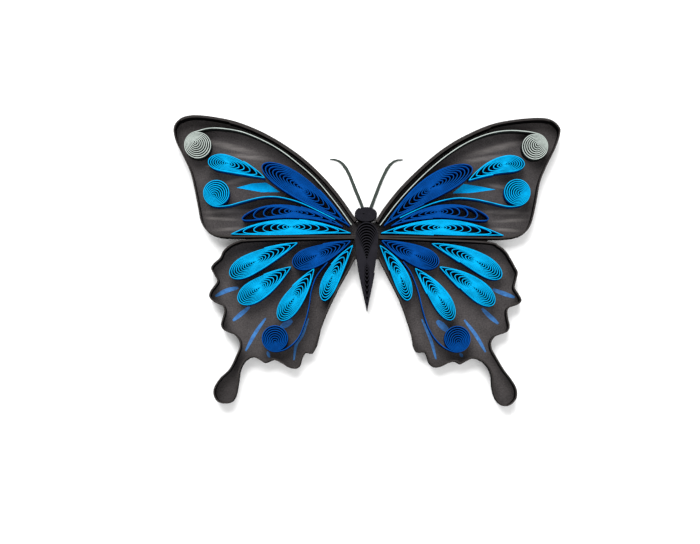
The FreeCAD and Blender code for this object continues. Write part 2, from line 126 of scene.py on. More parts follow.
# The antennae are printed a darker, greenish grey.
sheet_place = node(tree, "ShaderNodeSeparateXYZ", links={0: place})
away = node(tree, "ShaderNodeMath", {"operation": "ABSOLUTE"}, {0: sheet_place.outputs["X"]})
above = node(tree, "ShaderNodeMath", {"operation": "MULTIPLY_ADD", 1: -ANTENNA_LINE_RISE},
             {0: away.outputs[0], 2: sheet_place.outputs["Y"]})
on_antenna = node(tree, "ShaderNodeMapRange",
                  {"From Min": ANTENNA_LINE, "From Max": ANTENNA_LINE + ANTENNA_BLEND},
                  {"Value": above.outputs[0]})
printed = node(tree, "ShaderNodeMix", {"data_type": "RGBA", 7: linear(ANTENNA_GREY)},
               {0: on_antenna.outputs[0], 6: ground.outputs[0]})
colour = printed.outputs[2]

# The brush marks are streaky along the forewing, and each is laid over the ones before it.
stretched = node(tree, "ShaderNodeMapping", {"Scale": STREAKS_PER_MM}, {"Vector": place})
streaks = node(tree, "ShaderNodeTexNoise", {"Scale": 1.0, "Detail": 3.0}, {"Vector": stretched.outputs[0]})
for x, y, half_length, half_width, turn in BRUSH_MARKS:
    inside = node(tree, "ShaderNodeMapping", {
        "vector_type": "TEXTURE", "Location": (x, y, SHEET_TOP / MM),
        "Rotation": (0, 0, math.radians(turn)), "Scale": (half_length, half_width, BRUSH_DEPTH)},
        {"Vector": place})
    distance = node(tree, "ShaderNodeVectorMath", {"operation": "LENGTH"}, {0: inside.outputs[0]})
    mask = node(tree, "ShaderNodeMapRange", {
        "interpolation_type": "SMOOTHSTEP", "From Min": BRUSH_GONE, "From Max": BRUSH_FULL,
        "To Min": 0.0, "To Max": BRUSH_STRENGTH}, {"Value": distance.outputs["Value"]})
    amount = node(tree, "ShaderNodeMath", {"operation": "MULTIPLY"},
                  {0: mask.outputs[0], 1: streaks.outputs[0]})
    brushed = node(tree, "ShaderNodeMix", {"data_type": "RGBA", 7: linear(BRUSH_GREY)},
                   {0: amount.outputs[0], 6: colour})
    colour = brushed.outputs[2]
tree.links.new(colour, shader.inputs["Base Color"])
shader.inputs["Roughness"].default_value = 0.9
shader.inputs["Specular IOR Level"].default_value = 0.2
bump = node(tree, "ShaderNodeBump", {"Strength": 0.25, "Distance": GRAIN_HEIGHT},
            {"Height": grain.outputs[0]})
tree.links.new(bump.outputs[0], shader.inputs["Normal"])
for sheet_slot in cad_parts["wing_backing"].material_slots:
    sheet_slot.material = card

# Printed marks on the wing ground: two bright blue wedges on the forewings and soft blue strokes
# along the scallops of the hindwings. They are ink, so each is a film that barely stands off the card.

INK_THICKNESS = 0.02 * MM
# The two blues, each where its ink is full and where it is thin.
INK_BLUES = {"bright_blue_ink": ("#00ACEE", "#009EE0"), "soft_blue_ink": ("#3F76B2", "#385F92")}
INK_PATCHES_PER_MM = 1.6
INK_RANGE = (0.35, 0.65)

# Corners of each wedge, in millimetres as all places on the sheet.
WEDGES = {
    "left": [(-29.6, 16.8), (-26.2, 17.8), (-22.9, 18.0), (-19.7, 15.8), (-24.0, 15.8)],
    "right": [(29.3, 16.4), (25.8, 17.1), (22.0, 17.7), (19.4, 15.5), (23.5, 15.6)],
}

# Centre line and full width of each stroke.
STROKES = {
    "left": [
        ([(-34.3, -7.9), (-31.6, -6.6), (-29.1, -6.0)], 1.0),
        ([(-30.3, -13.5), (-28.4, -11.9), (-26.5, -10.3)], 1.0),
        ([(-27.4, -20.3), (-25.3, -16.4), (-22.9, -12.9)], 0.8),
        ([(-19.5, -15.0), (-16.9, -13.4)], 1.5),
        ([(-22.5, -20.4), (-22.0, -21.8)], 0.7),
        ([(-13.2, -13.0), (-14.6, -16.7), (-16.0, -19.0), (-16.5, -22.4)], 0.7),
    ],
    "right": [
        ([(28.5, -6.4), (30.9, -7.3), (33.4, -8.2)], 1.0),
        ([(26.0, -10.7), (27.8, -12.5), (29.7, -14.2)], 1.0),
        ([(22.0, -13.3), (24.7, -16.9), (26.8, -20.6)], 0.8),
        ([(15.8, -13.5), (18.4, -15.9)], 1.5),
        ([(21.0, -20.8), (21.6, -21.7)], 0.7),
        ([(12.4, -13.1), (14.4, -17.8), (15.6, -22.2)], 0.7),
    ],
}
# Steps between two points of a stroke, and the part of a swell that it covers, so that its ends are blunt.
STROKE_STEPS = 6
SWELL_START = 0.06
SWELL_SPAN = 0.88

# Blue ink on card: flat and matt, thinner where the brush left the card.
inks = {}
for name, (full, thin) in INK_BLUES.items():
    ink, tree, shader, place = new_material(name)
    cover = node(tree, "ShaderNodeTexNoise", {"Scale": INK_PATCHES_PER_MM, "Detail": 4.0}, {"Vector": place})
    tone = node(tree, "ShaderNodeValToRGB", links={0: cover.outputs[0]})
    for stop, position, blue in zip(tone.color_ramp.elements, INK_RANGE, (thin, full)):
        stop.position = position
        stop.color = linear(blue)
    tree.links.new(tone.outputs[0], shader.inputs["Base Color"])
    shader.inputs["Roughness"].default_value = 0.85
    shader.inputs["Specular IOR Level"].default_value = 0.05
    inks[name] = ink


def in_plane(points):
    """Points on the card in millimetres as vectors."""
    return [Vector((x, y, 0.0)) for x, y in points]


def smooth_path(points, steps):
    """A smooth path through points, with an even number of steps between each two."""
    ends = [points[0] * 2 - points[1]] + points + [points[-1] * 2 - points[-2]]
    path = []
    for a, b, c, d in zip(ends, ends[1:], ends[2:], ends[3:]):
        for step in range(steps):
            s = step / steps
            path.append(0.5 * (2 * b + (c - a) * s + (2 * a - 5 * b + 4 * c - d) * s ** 2
                               + (3 * b - a - 3 * c + d) * s ** 3))
    return path + [points[-1]]


def sideways(path, distances):
    """The path moved to its left by a distance at each point."""
    moved = []
    for i, point in enumerate(path):
        along = (path[min(i + 1, len(path) - 1)] - path[max(i - 1, 0)]).normalized()
        moved.append(point + Vector((-along.y, along.x, 0)) * distances[i])
    return moved


def printed_film(name, outline, ink):
    """A flat closed outline in millimetres as a thin film on the card.

    The outline is turned to run anticlockwise, so that the faces point outwards.
    """
    neighbours = zip(outline, outline[1:] + outline[:1])
    if sum(a.x * b.y - b.x * a.y for a, b in neighbours) < 0:
        outline = outline[::-1]
    count = len(outline)
    foot = [(point.x * MM, point.y * MM, SHEET_TOP) for point in outline]
    top = [(x, y, z + INK_THICKNESS) for x, y, z in foot]
    faces = [tuple(reversed(range(count))), tuple(range(count, 2 * count))]
    for i in range(count):
        following = (i + 1) % count
        faces.append((i, following, following + count, i + count))
    mesh = bpy.data.meshes.new(name)
    mesh.from_pydata(foot + top, [], faces)
    mesh.materials.append(inks[ink])
    film = bpy.data.objects.new(name, mesh)
    bpy.context.collection.objects.link(film)
    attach(film, "root")


def stroke_outline(points, width):
    """The outline of a brush stroke that swells in the middle."""
    middle = smooth_path(in_plane(points), STROKE_STEPS)
    swell = []
    for i in range(len(middle)):
        share = SWELL_START + SWELL_SPAN * i / (len(middle) - 1)
        swell.append(width / 2 * math.sin(math.pi * share) ** 0.5)
    return sideways(middle, swell) + list(reversed(sideways(middle, [-half for half in swell])))


for side, corners in WEDGES.items():
    printed_film("printed_wedge_" + side, in_plane(corners), "bright_blue_ink")
for side, strokes in STROKES.items():
    for number, (points, width) in enumerate(strokes):
        outline = stroke_outline(points, width)
        printed_film(f"printed_stroke_{side}_{number + 1}", outline, "soft_blue_ink")

# Black bands round the wings: strips of black paper that stand on edge and are glued side by side,
# two round the margin and the seam, with two more along the root of the leading edge.

STRIP_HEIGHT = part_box("head")[1].z - SHEET_TOP
# Thickness of the paper and pitch of the plies, in millimetres, and the plies of a whole band.
BAND_PAPER = 0.16
BAND_PITCH = 0.17
BAND_PLIES = 2
# Shares of the forewing's edge, from the head on, that the third and the fourth ply cover.
EXTRA_PLIES = (0.42, 0.30)
# Steps between two points of an edge.
EDGE_STEPS = 6

# Painted shade on the strips, as shares of their height: up to the first the colour holds the darkest painted
# shade, by the second it has eased to the lighter painted shade of the faces, and from the last the cut edge
# shows the paper's own colour.
DEEP_PAINTED_SHADE_ENDS = 0.87
LIGHT_PAINTED_SHADE_AT = 0.95
CUT_BEGINS = 0.97
# Fibres and slower patches of the dye, the fibres' share in its unevenness, and the tones that it spans.
FIBRES_PER_MM = 4.0
PATCHES_PER_MM = 0.5
FIBRE_SHARE = 0.5
FIBRE_HEIGHT = 0.02 * MM
PAPER_TONES = (0.8, 1.15)

# The cut edge dips in waves about a millimetre long. The top of the noise leaves it at full height.
EDGE_WAVES_PER_METRE = 900.0
EDGE_WAVE_TOP = 0.7
EDGE_UNEVENNESS = 0.12 * MM

# Free edges from the head round to the seam, and from the seam round to the body, in millimetres.
FOREWING_EDGE = {
    "left": [(-2.3, 9.0), (-3.3, 10.4), (-6.4, 14.8), (-10.3, 19.3), (-15.3, 23.8), (-21.9, 28.1),
             (-28.7, 31.1), (-35.0, 32.5), (-39.5, 32.8), (-42.2, 32.0), (-43.6, 30.0), (-43.2, 27.2),
             (-41.5, 23.6), (-39.8, 19.9), (-38.8, 15.9), (-37.9, 11.4), (-37.3, 8.6), (-36.0, 6.6),
             (-33.8, 5.4), (-31.1, 5.1), (-27.5, 5.1), (-15.0, 5.2), (-2.9, 5.2)],
    "right": [(1.9, 8.8), (3.2, 10.9), (4.1, 12.2), (7.4, 16.3), (12.0, 20.9), (16.5, 24.7),
              (21.4, 27.8), (27.7, 30.6), (33.4, 31.8), (39.0, 32.2), (41.7, 31.7), (43.4, 30.2),
              (43.6, 28.6), (42.5, 25.4), (40.4, 21.1), (39.0, 17.7), (38.2, 13.6), (37.5, 10.3),
              (36.7, 7.8), (35.4, 6.1), (33.0, 5.1), (30.0, 4.8), (27.5, 4.8), (15.0, 5.0), (2.6, 5.2)],
}
HINDWING_EDGE = {
    "left": [(-2.9, 5.12), (-15.0, 4.9), (-26.4, 4.6), (-29.0, 4.2), (-30.9, 3.3), (-32.3, 2.0), (-33.0, 0.5),
             (-34.4, -0.8), (-35.0, -1.9), (-34.3, -3.3), (-33.6, -4.7), (-34.3, -5.9), (-35.1, -7.0),
             (-35.4, -8.2), (-34.6, -9.2), (-33.4, -9.8), (-32.3, -10.4), (-32.0, -11.6), (-32.4, -13.2),
             (-32.7, -14.7), (-32.0, -15.8), (-30.0, -16.6), (-28.7, -18.0), (-28.5, -19.4),
             (-29.1, -21.1), (-30.7, -24.4), (-32.9, -26.6), (-34.2, -28.8), (-34.2, -30.5),
             (-33.3, -31.8), (-31.7, -32.2), (-30.1, -31.7), (-29.2, -29.9), (-28.8, -27.7),
             (-28.4, -24.8), (-27.2, -22.6), (-25.5, -21.8), (-24.1, -22.4), (-22.8, -23.1),
             (-21.0, -22.4), (-19.1, -23.2), (-17.0, -24.3), (-15.4, -24.1), (-14.6, -22.2),
             (-13.8, -20.8), (-12.7, -21.0), (-11.9, -20.4), (-10.5, -15.8), (-8.4, -10.5),
             (-6.1, -5.8), (-3.8, -1.7), (-2.7, 0.6)],
    "right": [(2.6, 5.12), (14.0, 4.7), (27.0, 4.1), (29.6, 3.2), (31.1, 2.0), (32.1, 0.5), (33.2, -1.5),
              (33.8, -2.8), (33.5, -4.4), (33.1, -6.2), (33.9, -7.6), (34.6, -9.0), (34.0, -9.9),
              (32.6, -10.3), (31.5, -11.2), (31.5, -12.8), (31.9, -14.9), (31.4, -16.1), (30.1, -16.6),
              (28.7, -17.2), (27.8, -18.4), (27.9, -20.0), (29.1, -22.2), (30.6, -24.7), (32.2, -26.8),
              (33.3, -28.8), (33.4, -30.7), (32.5, -32.1), (31.0, -32.8), (29.3, -32.0), (28.3, -30.2),
              (27.9, -28.0), (27.8, -25.9), (27.0, -24.0), (25.5, -22.6), (23.7, -22.1), (22.1, -22.8),
              (20.8, -23.4), (19.8, -22.8), (18.1, -23.2), (15.4, -24.1), (14.0, -23.3), (13.5, -22.0),
              (12.9, -20.7), (11.5, -20.8), (10.6, -20.0), (10.1, -17.4), (9.0, -13.8), (7.7, -9.9),
              (5.7, -5.7), (3.9, -2.1), (2.6, 0.5)],
}


def paper(name, foot, face_in_painted_shade, cut):
    """Matt dyed quilling paper: a paler cut edge on top in the paper's own colour, and faces below it painted
    darker as shade, most of all towards the foot.

    The fibres are about 0.1 mm, drawn at 0.25 mm so that they show.
    """
    material, tree, shader, place = new_material(name)
    height = node(tree, "ShaderNodeSeparateXYZ", links={0: place}).outputs["Z"]
    up_the_strip = node(tree, "ShaderNodeMapRange", {
        "From Min": SHEET_TOP / MM, "From Max": (SHEET_TOP + STRIP_HEIGHT) / MM}, {"Value": height})
    # Painted shade: the paper's colour at the cut edge darkens down the faces towards the foot.
    dye_and_painted_shade = node(tree, "ShaderNodeValToRGB", links={0: up_the_strip.outputs[0]})
    stops = dye_and_painted_shade.color_ramp.elements
    stops[0].color = linear(foot)
    stops[1].color = linear(cut)
    for position, colour in ((DEEP_PAINTED_SHADE_ENDS, foot), (LIGHT_PAINTED_SHADE_AT, face_in_painted_shade), (CUT_BEGINS, cut)):
        stops.new(position).color = linear(colour)
    fibre = node(tree, "ShaderNodeTexNoise", {"Scale": FIBRES_PER_MM, "Detail": 3.0}, {"Vector": place})
    patch = node(tree, "ShaderNodeTexNoise", {"Scale": PATCHES_PER_MM, "Detail": 2.0}, {"Vector": place})
    shade = node(tree, "ShaderNodeMath", {"operation": "MULTIPLY_ADD", 1: FIBRE_SHARE},
                 {0: fibre.outputs[0], 2: patch.outputs[0]})
    level = node(tree, "ShaderNodeMapRange", {
        "From Min": 0.5, "From Max": 1.0, "To Min": PAPER_TONES[0], "To Max": PAPER_TONES[1]},
        {"Value": shade.outputs[0]})
    mixed = node(tree, "ShaderNodeVectorMath", {"operation": "SCALE"},
                 {0: dye_and_painted_shade.outputs[0], "Scale": level.outputs[0]})
    tree.links.new(mixed.outputs[0], shader.inputs["Base Color"])
    shader.inputs["Roughness"].default_value = 0.8
    shader.inputs["Specular IOR Level"].default_value = 0.04
    bump = node(tree, "ShaderNodeBump", {"Strength": 0.3, "Distance": FIBRE_HEIGHT},
                {"Height": fibre.outputs[0]})
    tree.links.new(bump.outputs[0], shader.inputs["Normal"])
    return material


# The first two colours of each paper are painted shade, at the foot and on the faces; the last is its cut
# edge in the paper's own colour.
black_paper = paper("black_quilling_paper", "#030304", "#09080A", "#201F24")
band_paper = paper("black_band_paper", "#060506", "#121011", "#33302F")


def standing_strip_tree():
    """Stands a strip of paper on edge along a path: thickness, height, foot and unevenness in metres."""
    tree = bpy.data.node_groups.new("standing_paper_strip", "GeometryNodeTree")
    tree.interface.new_socket("Geometry", in_out="INPUT", socket_type="NodeSocketGeometry")
    for name in ("Thickness", "Height", "Foot", "Unevenness"):
        tree.interface.new_socket(name, in_out="INPUT", socket_type="NodeSocketFloat")
    tree.interface.new_socket("Paper", in_out="INPUT", socket_type="NodeSocketMaterial")
    tree.interface.new_socket("Geometry", in_out="OUTPUT", socket_type="NodeSocketGeometry")
    given = node(tree, "NodeGroupInput").outputs
    upright = node(tree, "GeometryNodeSetCurveNormal", {"mode": "Z_UP"}, {"Curve": given["Geometry"]})
    section = node(tree, "GeometryNodeCurvePrimitiveQuadrilateral",
                   links={"Width": given["Thickness"], "Height": given["Height"]})
    swept = node(tree, "GeometryNodeCurveToMesh", {"Fill Caps": True},
                 {"Curve": upright.outputs[0], "Profile Curve": section.outputs[0]})
    # Only the upper half of the section, which becomes the cut edge, follows the waves.
    position = node(tree, "GeometryNodeInputPosition")
    parts = node(tree, "ShaderNodeSeparateXYZ", links={0: position.outputs[0]})
    upper = node(tree, "ShaderNodeMath", {"operation": "GREATER_THAN", 1: 0.0}, {0: parts.outputs["Z"]})
    noise = node(tree, "ShaderNodeTexNoise", {"Scale": EDGE_WAVES_PER_METRE, "Detail": 1.0},
                 {"Vector": position.outputs[0]})
    dip = node(tree, "ShaderNodeMath", {"operation": "SUBTRACT", 1: EDGE_WAVE_TOP}, {0: noise.outputs[0]})
    wave = node(tree, "ShaderNodeMath", {"operation": "MULTIPLY"},
                {0: dip.outputs[0], 1: given["Unevenness"]})
    top_wave = node(tree, "ShaderNodeMath", {"operation": "MULTIPLY"},
                    {0: wave.outputs[0], 1: upper.outputs[0]})
    middle = node(tree, "ShaderNodeMath", {"operation": "MULTIPLY_ADD", 1: 0.5},
                  {0: given["Height"], 2: given["Foot"]})
    lift = node(tree, "ShaderNodeMath", {"operation": "ADD"}, {0: middle.outputs[0], 1: top_wave.outputs[0]})
    rise = node(tree, "ShaderNodeCombineXYZ", links={"Z": lift.outputs[0]})
    stood = node(tree, "GeometryNodeSetPosition",
                 links={"Geometry": swept.outputs[0], "Offset": rise.outputs[0]})
    real = node(tree, "GeometryNodeRealizeInstances", links={0: stood.outputs[0]})
    papered = node(tree, "GeometryNodeSetMaterial",
                   links={"Geometry": real.outputs[0], "Material": given["Paper"]})
    node(tree, "NodeGroupOutput", links={0: papered.outputs[0]})
    return tree


strip_tree = standing_strip_tree()


def standing_strips(name, paths, thickness, material, slot, *nodes):
    """One piece of strips on edge along paths in millimetres, in place of the named solids."""
    line = bpy.data.curves.new(name + "_path", "CURVE")
    line.dimensions = "3D"
    for path in paths:
        spline = line.splines.new("POLY")
        spline.points.add(len(path) - 1)
        for point, place in zip(spline.points, path):
            point.co = (place.x * MM, place.y * MM, 0, 1)
    guide = bpy.data.objects.new(name + "_path", line)
    bpy.context.collection.objects.link(guide)
    stand = guide.modifiers.new("stand", "NODES")
    stand.node_group = strip_tree
    inputs = [item for item in strip_tree.interface.items_tree if item.in_out == "INPUT"]
    sockets = {item.name: item.identifier for item in inputs}
    stand[sockets["Thickness"]] = thickness * MM
    stand[sockets["Height"]] = STRIP_HEIGHT
    stand[sockets["Foot"]] = SHEET_TOP
    stand[sockets["Unevenness"]] = EDGE_UNEVENNESS
    stand[sockets["Paper"]] = material
    shown = guide.evaluated_get(bpy.context.evaluated_depsgraph_get())
    mesh = bpy.data.meshes.new_from_object(shown)
    mesh.name = name
    piece = bpy.data.objects.new(name, mesh)
    bpy.context.collection.objects.link(piece)
    bpy.data.objects.remove(guide)
    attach(piece, "root")
    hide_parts(*nodes)


def band_ply(edge, number, inward):
    """One ply along an edge, numbered from the outside. Inward is 1 if the wing is on the edge's left."""
    return sideways(edge, [inward * (BAND_PAPER / 2 + BAND_PITCH * number)] * len(edge))


for side, inward in (("left", 1), ("right", -1)):
    edge = smooth_path(in_plane(FOREWING_EDGE[side]), EDGE_STEPS)
    plies = [band_ply(edge, number, inward) for number in range(BAND_PLIES)]
    for number, share in enumerate(EXTRA_PLIES, BAND_PLIES):
        plies.append(band_ply(edge[:int(len(edge) * share)], number, inward))
    standing_strips("forewing_bands_" + side, plies, BAND_PAPER, band_paper, "black_paper",
                    "forewing_rim_" + side)
    edge = smooth_path(in_plane(HINDWING_EDGE[side]), EDGE_STEPS)
    plies = [band_ply(edge, number, inward) for number in range(BAND_PLIES)]
    standing_strips("hindwing_bands_" + side, plies, BAND_PAPER, band_paper, "black_paper",
                    "hindwing_rim_" + side)

# Wound drops, leaves and body: each is one long strip of paper wound up, let loose, and pinched to a
# point at one end or at both. The turns lie pressed together along the sides and open towards the ends.

# The first two colours of each paper are painted shade, at the foot and on the faces; the last is its cut
# edge in the paper's own colour.
bright_blue_paper = paper("bright_blue_quilling_paper", "#003A78", "#005C94", "#0097CC")
deep_blue_paper = paper("deep_blue_quilling_paper", "#002468", "#002E70", "#004088")
PAPERS = {
    "bright": (bright_blue_paper, "bright_blue_paper"),
    "deep": (deep_blue_paper, "deep_blue_paper"),
    "black": (black_paper, "black_paper"),
}

# Each kind: where it is widest, its turns, where their heart lies, if both ends are pinched, and its
# paper. Places are shares of the length from the tip. A long leaf is one even bow, with no widest place.
COIL_KINDS = {
    "forewing_drop": (0.76, 9, 0.66, False, "bright"),
    "forewing_plume": (0.68, 12, 0.55, False, "deep"),
    "forewing_dark_leaf": (0.70, 9, 0.50, True, "deep"),
    "hindwing_outer_drop": (0.74, 12, 0.60, False, "bright"),
    "hindwing_middle_drop": (0.70, 12, 0.58, False, "bright"),
    "hindwing_inner_drop": (0.68, 11, 0.56, False, "bright"),
    "hindwing_dark_drop": (0.72, 12, 0.57, False, "deep"),
    "hindwing_root_drop": (0.68, 9, 0.58, False, "bright"),
    "forewing_long_leaf": (None, 10, 0.50, True, "bright"),
    "body": (0.85, 14, 0.56, False, "black"),
}

# Each piece: its tip, its far end, its width and its bow to the left in millimetres, then a power:
# the sides are fuller towards the tip where it is under 1, and hollower where it is over 1.
COILS = {
    "forewing_drop_left": ((-22.9, 18.5), (-35.8, 22.5), 3.95, -0.72, 0.90),
    "forewing_drop_right": ((22.8, 17.9), (35.5, 22.0), 3.95, 1.13, 0.90),
    "forewing_plume_left": ((-3.8, 7.55), (-23.6, 21.55), 5.30, -0.72, 1.20),
    "forewing_plume_right": ((3.7, 7.6), (23.7, 21.0), 5.35, 1.22, 1.20),
    "forewing_dark_leaf_left": ((-5.3, 7.4), (-28.2, 9.3), 3.20, -2.60, 1.00),
    "forewing_dark_leaf_right": ((5.3, 7.6), (27.4, 9.3), 3.30, 2.42, 1.00),
    "hindwing_outer_drop_left": ((-15.5, 3.9), (-30.8, -3.5), 4.74, -0.34, 0.90),
    "hindwing_outer_drop_right": ((14.4, 3.7), (30.2, -3.8), 4.56, 0.72, 0.90),
    "hindwing_middle_drop_left": ((-17.0, -1.5), (-28.8, -9.4), 4.96, 0.07, 0.90),
    "hindwing_middle_drop_right": ((16.2, -1.5), (28.5, -9.9), 4.69, 0.45, 0.90),
    "hindwing_inner_drop_left": ((-11.8, -1.9), (-19.6, -13.5), 4.51, -0.05, 0.90),
    "hindwing_inner_drop_right": ((10.7, -1.8), (19.2, -13.4), 4.33, 0.52, 0.90),
    "hindwing_dark_drop_left": ((-3.6, 4.3), (-16.7, -1.0), 4.80, 0.18, 0.90),
    "hindwing_dark_drop_right": ((3.2, 4.4), (16.1, -0.9), 4.80, -0.18, 0.90),
    "hindwing_root_drop_left": ((-3.1, 3.4), (-9.9, -9.1), 3.75, -0.75, 0.90),
    "hindwing_root_drop_right": ((2.8, 3.4), (9.35, -9.05), 3.70, 0.82, 0.90),
    "forewing_long_leaf_left": ((-3.5, 6.0), (-30.6, 5.8), 3.60, -1.55, 0.87),
    "forewing_long_leaf_right": ((3.0, 6.0), (30.7, 5.5), 3.60, 1.55, 0.95),
    "body": ((0.0, -11.6), (-0.1, 8.5), 5.14, 0.0, 1.10),
}
# The power that leans the widest place of a long leaf towards its far end.
LEAF_LEAN = {"forewing_long_leaf_left": 1.09, "forewing_long_leaf_right": 1.05}

# Thickness of the paper in millimetres.
QUILL_PAPER = 0.18
# From the middle of the outermost ply to the middle of the next, where they are pressed together.
PLY_PITCH = 0.19
# Room for paper at the tip, and half the room left at the heart and between any two sides of a turn.
TIP_ROOM = 0.02
HEART_ROOM = 0.05
SIDE_ROOM = 0.02
# Powers above 1, at the pinched ends and at the sides, that set outer turns wider apart than inner ones.
END_SPREAD = 2.1
SIDE_SPREAD = 1.4
# Length of a pinched end's rounding on the outermost turn, how much longer it is further in, and the
# most that it may take of a turn's length.
OUTER_FOLD = 0.3
INNER_FOLD = 1.1
FOLD_SHARE = 0.45
# Each turn steps in by one between these shares of the way round from the tip.
STEP_BEGINS = 0.62
STEP_ENDS = 0.80
# Shares of a turn by which the outer end laps the first turn, and by which the strip ends early inside.
LAP = 0.24
HEART_END = 0.4
POINTS_PER_TURN = 44


def eased(value):
    """Goes gently from 0 to 1, and stays at them outside."""
    value = min(1.0, max(0.0, value))
    return value * value * (3 - 2 * value)


def quarter_round(distance, span):
    """Falls along a quarter of an ellipse from 1 at no distance to 0 at the span."""
    return math.sqrt(max(0.0, 1 - (distance / span) ** 2))


def wound_path(tip, far_end, width, bow, power, widest, turns, heart, both_pinched, lean):
    """The path of the strip in millimetres, from its glued outer end round all turns to the heart."""
    tip = Vector((*tip, 0.0))
    axis = Vector((*far_end, 0.0)) - tip
    length = axis.length
    axis = axis / length
    left = Vector((-axis.y, axis.x, 0.0))

    def half_width(share):
        """Half the outer width at a share of the length, without the rounding of a loose far end."""
        share = min(1.0, max(0.0, share))
        if widest is None:
            return width / 2 * math.sin(math.pi * share ** lean) ** power
        if share < widest:
            return width / 2 * math.sin(math.pi / 2 * share / widest) ** power
        if both_pinched:
            return width / 2 * quarter_round(share - widest, 1 - widest)
        return width / 2

    room = half_width(heart) - QUILL_PAPER / 2 - PLY_PITCH - HEART_ROOM

    def place(turn, phase):
        """The point that lies a number of turns in and an angle round from the tip."""
        reach = turn / turns
        pinched_reach = 1 - (1 - reach) ** END_SPREAD
        far_reach = pinched_reach if both_pinched else reach
        near = (QUILL_PAPER + TIP_ROOM) / length * (1 - reach) + heart * pinched_reach
        far = 1 - QUILL_PAPER / 2 / length - (1 - heart) * far_reach
        share = near + (far - near) * (1 - math.cos(phase)) / 2

        after_first = max(0.0, turn - 1) / (turns - 1)
        depth = QUILL_PAPER / 2 + PLY_PITCH * min(1.0, turn) + room * (1 - (1 - after_first) ** SIDE_SPREAD)
        across = max(SIDE_ROOM, half_width(share) - depth)

        fold = min(OUTER_FOLD + INNER_FOLD * min(1.0, turn), FOLD_SHARE * (far - near) * length) / length
        if share < near + fold:
            across *= quarter_round(near + fold - share, fold)
        if both_pinched and share > far - fold:
            across *= quarter_round(share - far + fold, fold)
        if not both_pinched:
            round_from = widest + (heart - widest) * reach
            if share > round_from:
                across *= quarter_round(share - round_from, far - round_from)
        if phase >= math.pi:
            across = -across
        return tip + axis * (share * length) + left * (across + 4 * bow * share * (1 - share))

    path = []
    for step in range(-int(LAP * POINTS_PER_TURN), int((turns - HEART_END) * POINTS_PER_TURN)):
        whole, part = divmod(step / POINTS_PER_TURN, 1)
        turn = max(0.0, whole + eased((part - STEP_BEGINS) / (STEP_ENDS - STEP_BEGINS)))
        path.append(place(turn, 2 * math.pi * part))
    return path


for name, (tip, far_end, width, bow, power) in COILS.items():
    kind = name.removesuffix("_left").removesuffix("_right")
    widest, turns, heart, both_pinched, paper_name = COIL_KINDS[kind]
    lean = LEAF_LEAN.get(name, 1.0)
    path = wound_path(tip, far_end, width, bow, power, widest, turns, heart, both_pinched, lean)
    standing_strips("wound_" + name, [path], QUILL_PAPER, *PAPERS[paper_name], name)

# Head: a short strip of black paper wound tight and pressed to an oval. It is glued to the card above
# the body, between the feet of the antennae.

# Sizes and the pitch of the turns in millimetres, and the angle of the outer end in radians.
HEAD_CENTRE = Vector((-0.2, 10.36, 0.0))
HEAD_HALF_WIDTH = 2.6
HEAD_HALF_HEIGHT = 1.78
HEAD_TURNS = 7
HEAD_PITCH = 0.235
HEAD_OUTER_END = 2.2
HEAD_POINTS_PER_TURN = 40

head_path = []
for step in range(HEAD_TURNS * HEAD_POINTS_PER_TURN):
    turned = step / HEAD_POINTS_PER_TURN
    angle = 2 * math.pi * turned + HEAD_OUTER_END
    inset = QUILL_PAPER / 2 + HEAD_PITCH * turned
    head_path.append(HEAD_CENTRE + Vector(((HEAD_HALF_WIDTH - inset) * math.cos(angle),
                                           (HEAD_HALF_HEIGHT - inset) * math.sin(angle), 0)))
standing_strips("wound_head", [head_path], QUILL_PAPER, black_paper, "black_paper", "head")

# Scrolls: loose round coils, pressed together on one side and open on the other. The strip leaves
# the coil and runs on as a standing vein towards the body.

# The first two colours are painted shade, at the foot and on the faces; the last is the cut edge in the
# paper's own colour.
pale_grey_paper = paper("pale_grey_quilling_paper", "#1E2221", "#4A514F", "#A6AFAA")
PAPERS["pale"] = (pale_grey_paper, "pale_grey_paper")

# Each scroll: the coil's centre and radius in millimetres, the angle where the strip leaves it and the
# angle at which its turns stand open in degrees, the way round, the paper, and the vein's points.
SCROLLS = {
    "forewing_tip_scroll_left": ((-38.04, 25.99), 3.23, 97, -45, -1, "pale", [
        (-35.8, 29.8), (-32.8, 29.8), (-28.2, 29.0), (-23.5, 27.1), (-19.6, 24.9), (-15.9, 22.1),
        (-11.6, 18.3), (-7.0, 12.8), (-3.5, 7.9)]),
    "forewing_tip_scroll_right": ((37.75, 25.65), 3.14, 83, 215, 1, "pale", [
        (35.9, 29.1), (31.9, 29.3), (27.9, 28.7), (23.6, 27.1), (19.3, 24.6), (14.7, 21.0),
        (10.4, 16.9), (6.7, 12.8), (2.9, 7.8)]),
    "forewing_margin_scroll_left": ((-33.79, 15.16), 3.14, 270, 50, 1, "bright", [
        (-31.1, 12.3), (-28.2, 13.1), (-24.2, 14.1), (-20.9, 14.3), (-17.6, 13.75), (-14.3, 12.65),
        (-10.3, 10.72), (-7.2, 9.12)]),
    "forewing_margin_scroll_right": ((33.66, 15.30), 3.16, 275, 160, -1, "bright", [
        (31.6, 12.1), (27.7, 13.0), (24.3, 13.7), (20.7, 14.0), (17.3, 13.5), (14.0, 12.5),
        (10.4, 10.95), (7.4, 9.5)]),
    "hindwing_scroll_left": ((-20.55, -17.57), 3.11, 279, 90, 1, "deep", [
        (-17.8, -19.8), (-15.4, -17.5), (-13.9, -13.9), (-13.0, -10.3), (-12.5, -6.9), (-11.3, -3.6),
        (-8.9, -0.6)]),
    "hindwing_scroll_right": ((20.10, -17.69), 3.11, 261, 105, -1, "deep", [
        (17.3, -19.7), (15.2, -17.7), (13.7, -15.1), (12.5, -11.4), (11.4, -6.9), (9.9, -3.0),
        (8.1, -0.4)]),
}
SCROLL_TURNS = 8
